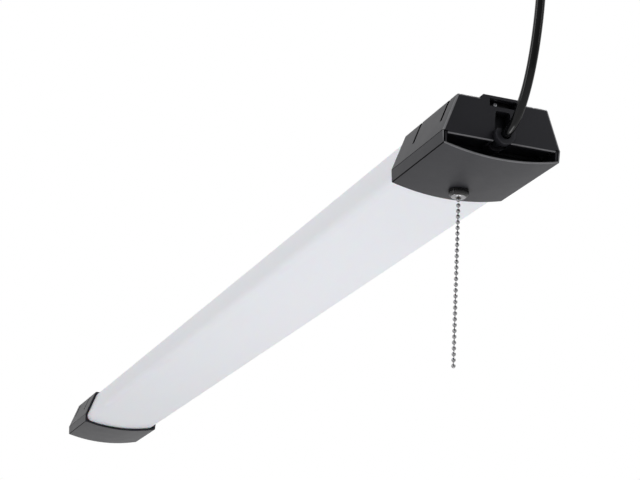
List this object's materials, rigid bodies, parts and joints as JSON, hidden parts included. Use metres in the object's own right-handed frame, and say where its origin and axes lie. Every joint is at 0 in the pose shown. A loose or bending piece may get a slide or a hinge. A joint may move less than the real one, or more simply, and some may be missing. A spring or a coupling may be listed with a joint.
{
  "type": "led strip batten",
  "caption": "Long hanging LED light with a curved opal diffuser, black moulded end caps, a pull-chain switch on a bead chain and a mains lead from one end.",
  "frame": {"origin": "midway between the two hanging holes, on the steel tray's back face", "axes": "+X along the light towards the end with the switch and the lead, +Z out of the back, light shines along -Z"},
  "size_m": [1.2408, 0.09, 0.3191],
  "materials": {
    "black_shell": "fine-textured moulded black",
    "opal": "satin opal polycarbonate",
    "white_steel": "white powder coat",
    "zinc_steel": "bright zinc plate",
    "black_steel": "black zinc plate",
    "black_screw": "black oxide",
    "chrome_plate": "polished",
    "black_nylon": "moulded nylon",
    "brass_part": "plain brass",
    "spring_steel": "drawn wire",
    "white_board": "white solder mask over aluminium",
    "lamp_chip": "phosphor-filled package",
    "green_board": "green glass-fibre board",
    "film": "black insulating film",
    "winding": "taped winding",
    "copper_coil": "enamelled copper",
    "capacitor_can": "sleeved can",
    "chip_black": "moulded epoxy",
    "terminal_white": "moulded nylon",
    "cord_jacket": "glossy flexible PVC",
    "tie_strap": "woven hook and loop",
    "wire_black": "PVC insulation",
    "wire_white": "PVC insulation",
    "wire_green": "PVC insulation"
  },
  "bodies": {
    "housing": {"near_cap_upper": "black_shell", "near_cap_lower": "black_shell", "near_cap_screws": "black_screw", "near_tray_screws": "zinc_steel", "near_hanger_clip": "black_steel", "near_clip_screw": "zinc_steel", "far_cap_upper": "black_shell", "far_cap_lower": "black_shell", "far_cap_screws": "black_screw", "far_tray_screws": "zinc_steel", "far_hanger_clip": "black_steel", "far_clip_screw": "zinc_steel", "back_tray": "white_steel", "diffuser": "opal", "led_board_1": "white_board", "led_board_2": "white_board", "leds_1": "lamp_chip", "leds_2": "lamp_chip", "board_screws": "zinc_steel", "board_link": "terminal_white", "driver_insulator": "film", "driver_board": "green_board", "driver_screws": "zinc_steel", "driver_transformer": "winding", "driver_input_capacitor": "capacitor_can", "driver_output_capacitor": "capacitor_can", "driver_choke": "copper_coil", "driver_rectifier": "chip_black", "driver_fuse": "terminal_white", "driver_controller": "chip_black", "terminal_block": "terminal_white", "switch_case": "black_nylon", "switch_lid": "black_nylon", "switch_pivot": "zinc_steel", "switch_contacts": "brass_part", "switch_spring": "spring_steel", "switch_bushing": "brass_part", "switch_nut": "black_nylon", "switch_bell": "chrome_plate", "strain_relief": "cord_jacket", "cord_tube": "cord_jacket", "cord_hank": "cord_jacket", "cord_tail": "cord_jacket", "hank_tie": "tie_strap", "plug_body": "cord_jacket", "plug_blades": "brass_part", "plug_ground_pin": "brass_part", "live_wire": "wire_black", "neutral_wire": "wire_white", "earth_wire": "wire_green", "lamp_wires": "wire_white", "switch_wires": "wire_black"},
    "pull": {"pull_link": "chrome_plate"},
    "rotor": {"switch_rotor": "black_nylon"},
    "chain_top": {"chain_top_link": "chrome_plate"},
    "chain_upper": {"chain_upper": "chrome_plate"},
    "chain_middle": {"chain_middle_link": "chrome_plate"},
    "chain_lower": {"chain_lower": "chrome_plate"}
  },
  "joints": [
    {"name": "chain_pull", "type": "slide", "parent": "housing", "child": "pull", "axis": [0, 0, -1], "range_m": [0, 0.008], "stiffness_N_per_m": 150, "springref_m": -0.004, "deforming": ["switch_spring"]},
    {"name": "rotor_turn", "type": "hinge", "parent": "housing", "child": "rotor", "pos_m": [0.51204, 0.003, -0.027], "axis": [0, 1, 0], "range_deg": [0, 60]},
    {"name": "chain_swing_long", "type": "hinge", "parent": "pull", "child": "chain_top", "pos_m": [0.5195, 0, -0.05006], "axis": [0, 1, 0], "range_deg": [-40, 40]},
    {"name": "chain_swing_across", "type": "hinge", "parent": "chain_top", "child": "chain_upper", "pos_m": [0.5195, 0, -0.05434], "axis": [1, 0, 0], "range_deg": [-40, 40]},
    {"name": "chain_bend_long", "type": "hinge", "parent": "chain_upper", "child": "chain_middle", "pos_m": [0.5195, 0, -0.10984], "axis": [0, 1, 0], "range_deg": [-40, 40]},
    {"name": "chain_bend_across", "type": "hinge", "parent": "chain_middle", "child": "chain_lower", "pos_m": [0.5195, 0, -0.11411], "axis": [1, 0, 0], "range_deg": [-40, 40]}
  ],
  "couplings": [
    {"joint": "rotor_turn", "follows": "chain_pull", "rad_per_m": 130.8}
  ]
}
